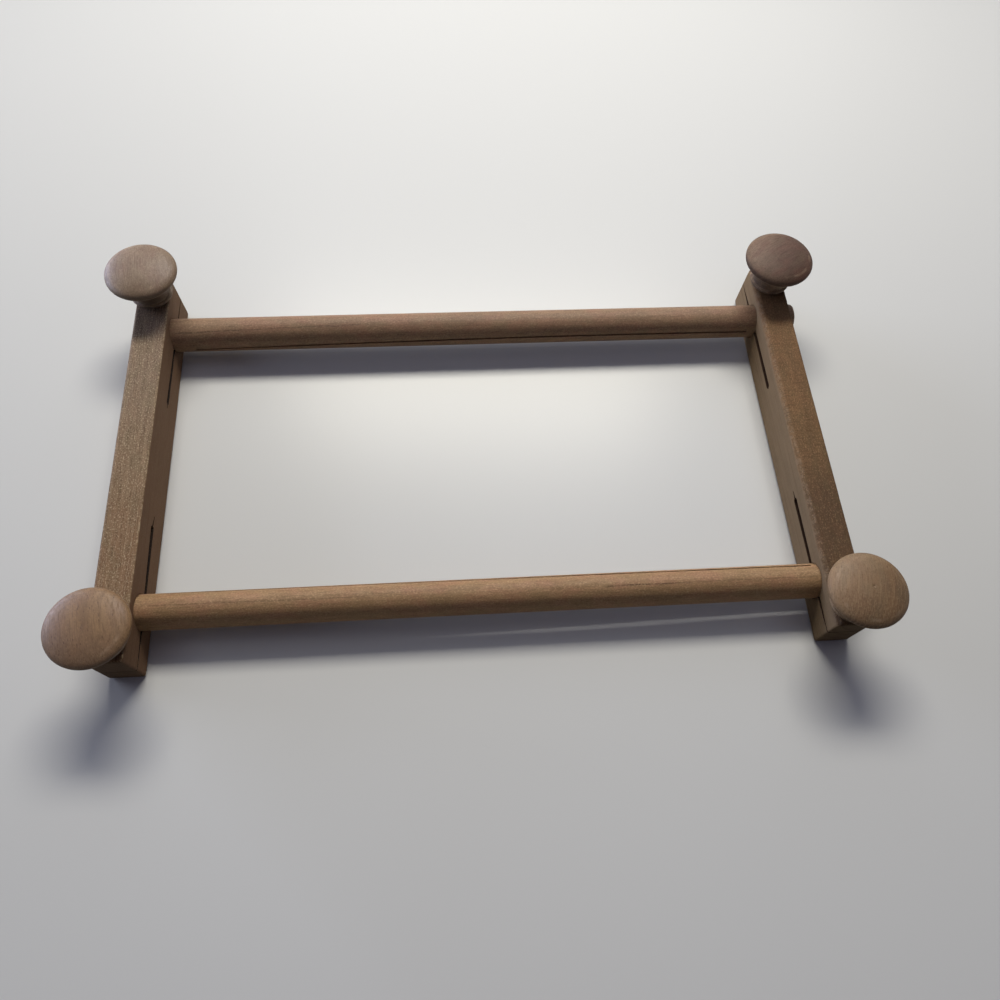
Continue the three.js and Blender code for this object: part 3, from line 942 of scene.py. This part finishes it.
def turningMarksAndPaintedLight(corner, middle, foot):
    def prepare(tree):
        look = knob
        across = tree.vector("MULTIPLY", tree.away(middle), (1, 1, 0))
        radius = tree.vector("LENGTH", across, output="Value") / mm
        height = tree.axis(tree.away(foot), "Z") / mm
        stray = tree.stray(*look["shadeStray"])
        # painted shade and light: each knob is tinted darker away from the light and paler towards it
        for degrees, tint, strength in look["paintedShading"][corner]:
            angle = math.radians(degrees)
            towards = (math.cos(angle), math.sin(angle), 0)
            reach = tree.vector("DOT_PRODUCT", across, towards, output="Value") / mm + stray
            tree.tint(tree.smooth(reach, *look["shadeReach"]) * strength, tint)
        outwards = tree.node("ShaderNodeCombineXYZ", {}, {"X": radius})
        groove = tree.noise(outwards, *look["toolMarks"])
        tree.height = tree.height + groove * look["toolDepth"]
        patches = tree.pattern(*look["paintedLightPatches"])
        # painted highlight: a patchy pale ring round the dome's shoulder
        highlightBand = tree.smooth(abs(radius - look["highlightRing"]), *look["highlightRingEdge"])
        tree.tint(highlightBand * patches * look["highlightRingStrength"], look["paintedLightTint"])
        # painted light: the flange is tinted pale, as where light catches it
        flange = tree.smooth(height, *look["flangePaintedLightHeight"])
        tree.tint(flange * patches * look["flangePaintedLight"], look["paintedLightTint"])
        # painted light: the neck under the bead is tinted pale though it lies in shade
        neck = tree.smooth(height, look["beadHeight"], look["beadHeight"] - look["neckPaintedLightFade"])
        tree.tint(neck * look["neckPaintedLight"].get(corner, 0.0), look["paintedLightTint"])
    return prepare


def makeKnob(corner):
    node = corner + "_knob"
    middle, size = middleOf(node)
    angle = math.radians(knob["grainAngle"][corner])
    along = (math.cos(angle), math.sin(angle), 0)
    marks = turningMarksAndPaintedLight(corner, middle, footOf(middle, size))
    material = woodMaterial(corner + "KnobWood", woods[corner + "Knob"], middle, along, marks)
    profile = knobProfile(knob, size / mm, knob["dimpleDepth"][corner])
    turnPiece(corner + "Knob", node, node, "knob_wood", material, knob, profile)


insert = {  # millimetres
    "boreDiameter": 6.8, "chamfer": 0.6, "pitch": 2.4, "threadDepth": 0.5,
    "threadPoints": 60, "plainPoints": (2, 2), "sides": 48, "sharpAngle": 40,
}


def makeInsert(corner):
    look = insert
    node = corner + "_insert"
    size = middleOf(node)[1]
    outer = size.x / 2 / mm
    bore = look["boreDiameter"] / 2
    tall = size.z / mm
    cut = look["chamfer"]
    profile = [(bore, cut), (bore + cut, 0), (outer - cut, 0)]
    wall = spread(cut, tall - cut, look["threadPoints"])
    thread = threadedPoints(len(profile), wall, look["plainPoints"])
    profile += [(outer, z) for z in wall]
    profile += [(outer - cut, tall), (bore + cut, tall), (bore, tall - cut), (bore, cut)]
    turnPiece(corner + "Insert", node, node, "brass", brass, look, profile, thread=thread)


# Bolts and washers

def makeBolt(corner, side):
    look = clampBolt
    node = corner + "_bolt"
    tall = middleOf(node)[1].z / mm
    head = look["headDiameter"] / 2
    headEase = look["headEase"]
    seat = look["headHeight"]
    dome = seat - look["headRim"]
    neck = look["neckSide"] / 2
    neckTop = seat + look["neckHeight"]
    radius = look["diameter"] / 2
    profile = arcPoints((0, dome), (head, dome), -quarter, 0, look["headPoints"])
    profile += [(head, seat - headEase), (head - headEase, seat)]
    square = (len(profile), len(profile) + 1)
    profile += [(neck, seat), (neck, neckTop), (radius, neckTop + look["neckEase"])]
    wall = spread(tall - look["threadLength"], tall - look["tipChamfer"], look["threadPoints"])
    thread = threadedPoints(len(profile), wall, look["plainPoints"])
    profile += [(radius, z) for z in wall]
    profile += [(radius - look["tipChamfer"], tall), (0, tall)]
    turnPiece(corner + "Bolt", side + "_frame", node, "zinc_steel", zinc, look, profile,
              thread=thread, square=square)


washer = {"ease": 0.15, "sides": 64}  # millimetres


def makeWasher(corner, side):
    node = corner + "_washer"
    size = middleOf(node)[1]
    outer = size.x / 2 / mm
    hole = clampBolt["diameter"] / 2 + sideBar["holeRoom"]
    tall = size.z / mm
    ease = washer["ease"]
    profile = [(hole, ease), (hole + ease, 0), (outer - ease, 0), (outer, ease), (outer, tall - ease)]
    profile += [(outer - ease, tall), (hole + ease, tall), (hole, tall - ease), (hole, ease)]
    turnPiece(corner + "Washer", side + "_frame", node, "zinc_steel", zinc, washer, profile)


for row in rows:
    for side in sides:
        corner = f"{row}_{side}"
        makeKnob(corner)
        makeInsert(corner)
        makeBolt(corner, side)
        makeWasher(corner, side)
print("knobs, inserts, bolts and washers turned")


# Floor, light and camera

floorLook = {  # metres
    "colour": (200, 202, 195), "width": 8.0, "roughness": 0.29, "sheen": 0.036, "fade": (0.42, 1.0),
}


def seenRays(tree):  # 1 for what the camera sees, also in a gloss or through glass
    camera, glossy, passed = (tree.node("ShaderNodeLightPath", output=name)
                              for name in ("Is Camera Ray", "Is Glossy Ray", "Is Transmission Ray"))
    return tree.maths("MAXIMUM", tree.maths("MAXIMUM", camera, glossy), passed)


def makeFloor():  # far from the object it fades into the colour of the backdrop
    look = floorLook
    tree = newMaterial("paleFloor", Base_Color=linear(*look["colour"]), Roughness=look["roughness"],
                       Metallic=look["sheen"], Specular_IOR_Level=0.0)
    fade = tree.smooth(tree.vector("LENGTH", tree.here, output="Value"), *look["fade"]) * seenRays(tree)
    backdrop = tree.node("ShaderNodeEmission", {}, {"Color": linear(*worldLook["seen"])})
    lit = Signal(tree, tree.surface.outputs["BSDF"])
    blended = tree.node("ShaderNodeMixShader", {}, {0: fade, 1: lit, 2: backdrop})
    tree.feed(tree.material.node_tree.nodes["Material Output"].inputs["Surface"], blended)
    mesh = bpy.data.meshes.new("floor")
    reach = look["width"] / 2
    corners = [(-reach, -reach, 0), (reach, -reach, 0), (reach, reach, 0), (-reach, reach, 0)]
    mesh.from_pydata(corners, [], [(0, 1, 2, 3)])
    mesh.materials.append(tree.material)
    floor = newObject("floor", mesh)


lamps = {  # places and sizes in metres, power in watts
    "key": {"place": (0.05, 0.716, 0.856), "size": (0.75, 0.24), "power": 12.3, "tint": (1.0, 0.945, 0.905)},
    "side": {"place": (-2.2, 1.15, 0.36), "size": (1.6, 0.6), "power": 52.0, "tint": (0.66, 0.72, 1.0)},
    "sky": {"place": (0.2, 1.4, 1.3), "size": (1.6, 1.4), "power": 9.6, "tint": (0.76, 0.80, 1.0)},
    "top": {"place": (0.0, 0.0, 1.4), "size": (1.2, 1.2), "power": 2.4, "tint": (0.78, 0.78, 1.0)},
}
worldLook = {"fill": (0.7, 0.56, 1.0), "strength": 0.04, "seen": (206, 205, 203)}


def makeLights():
    for name, look in lamps.items():
        data = bpy.data.lights.new(name, "AREA")
        data.shape = "RECTANGLE"
        data.size, data.size_y = look["size"]
        data.energy = look["power"]
        data.color = look["tint"]
        lamp = newObject(name, data)
        lamp.location = look["place"]
        lamp.rotation_euler = Vector(look["place"]).to_track_quat("Z", "Y").to_euler()


def makeWorld():
    world = bpy.data.worlds.new("studio")
    world.use_nodes = True
    bpy.context.scene.world = world
    tree = Tree(world.node_tree)
    fill = tuple(v * worldLook["strength"] for v in worldLook["fill"]) + (1.0,)
    background = world.node_tree.nodes["Background"]
    tree.feed(background.inputs["Color"], tree.mix(seenRays(tree), fill, linear(*worldLook["seen"])))
    background.inputs["Strength"].default_value = 1.0


view = {  # metres and degrees, pixels of a picture that is 1000 across, and millimetres for the sensor
    "place": (-0.0145951, -0.2116946, 0.3517642), "yaw": 9.391, "down": 68.630, "roll": 6.074,
    "focal": 710.546, "centreRow": 588.304, "picture": 1000, "sensor": 36.0, "nearest": 0.01,
}


def makeCamera():
    yaw, down, roll = (math.radians(view[name]) for name in ("yaw", "down", "roll"))
    forward = Vector((math.sin(yaw) * math.cos(down), math.cos(yaw) * math.cos(down), -math.sin(down)))
    level = Vector((math.cos(yaw), -math.sin(yaw), 0))
    above = level.cross(forward)
    right = level * math.cos(roll) + above * math.sin(roll)
    up = above * math.cos(roll) - level * math.sin(roll)
    data = bpy.data.cameras.new("camera")
    data.sensor_width = view["sensor"]
    data.lens = view["sensor"] * view["focal"] / view["picture"]
    data.shift_y = view["centreRow"] / view["picture"] - 0.5
    data.clip_start = view["nearest"]
    camera = newObject("camera", data)
    turn = Matrix((right, up, -forward)).transposed().to_4x4()
    camera.matrix_world = Matrix.Translation(view["place"]) @ turn
    bpy.context.scene.camera = camera


makeFloor()
makeLights()
makeWorld()
makeCamera()
bpy.context.scene.view_settings.view_transform = "Standard"
print("stage lit")
